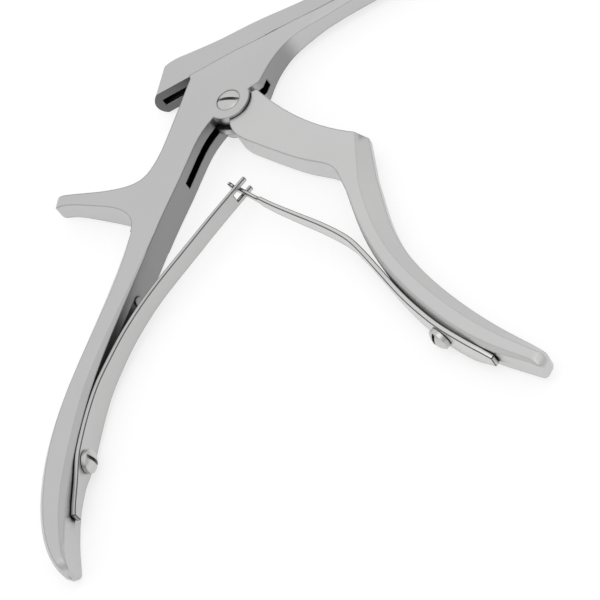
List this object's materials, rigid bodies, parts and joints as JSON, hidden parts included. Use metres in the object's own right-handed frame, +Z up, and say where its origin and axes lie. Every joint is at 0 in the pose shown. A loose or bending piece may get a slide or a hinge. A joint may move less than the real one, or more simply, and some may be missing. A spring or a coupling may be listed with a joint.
{
  "type": "bone rongeur",
  "caption": "Sliding-shaft bone rongeur: a squeezed front handle drives a slide along a long slim shaft to close an upright jaw; interlocked leaf springs open it again.",
  "frame": {"origin": "pivot axis where it meets the lower flat side of the body, the instrument lying on its side", "axes": "+X along the shaft to the jaw, -Y towards the handles, +Z up through the thickness"},
  "size_m": [0.2606, 0.1258, 0.0085],
  "materials": {
    "satin_steel": "satin, fine glass-bead blast",
    "spring_steel": "satin, brushed along the leaf",
    "screw_steel": "satin, turned"
  },
  "bodies": {
    "frame": {"fixed_handle_shaft": "satin_steel", "pivot_screw": "screw_steel", "rear_spring_root": "spring_steel", "rear_spring_screw": "screw_steel", "spring_stop_pin": "screw_steel"},
    "slide": {"slide_bar": "satin_steel"},
    "handle": {"moving_handle": "satin_steel", "front_spring_root": "spring_steel", "front_spring_screw": "screw_steel"},
    "rear_spring": {"rear_spring_blade": "spring_steel"},
    "front_spring": {"front_spring_blade": "spring_steel"}
  },
  "joints": [
    {"name": "handle_pivot", "type": "hinge", "parent": "frame", "child": "handle", "pos_m": [0, 0, 0.00365], "axis": [0, 0, -1], "range_deg": [0, 34], "stiffness_Nm_per_rad": 1, "springref_deg": -5.73},
    {"name": "slide_travel", "type": "slide", "parent": "frame", "child": "slide", "axis": [1, 0, 0], "range_m": [0, 0.0085]},
    {"name": "rear_spring_flex", "type": "hinge", "parent": "frame", "child": "rear_spring", "pos_m": [-0.042, -0.0491, 0.00365], "axis": [0, 0, 1], "range_deg": [0, 9.2]},
    {"name": "front_spring_flex", "type": "hinge", "parent": "handle", "child": "front_spring", "pos_m": [0.0146, -0.0563, 0.00365], "axis": [0, 0, -1], "range_deg": [0, 12.45]}
  ],
  "couplings": [
    {"joint": "slide_travel", "follows": "handle_pivot", "m_per_rad": 0.014322},
    {"joint": "rear_spring_flex", "follows": "handle_pivot", "ratio": 0.2696},
    {"joint": "front_spring_flex", "follows": "handle_pivot", "ratio": 0.3648}
  ]
}
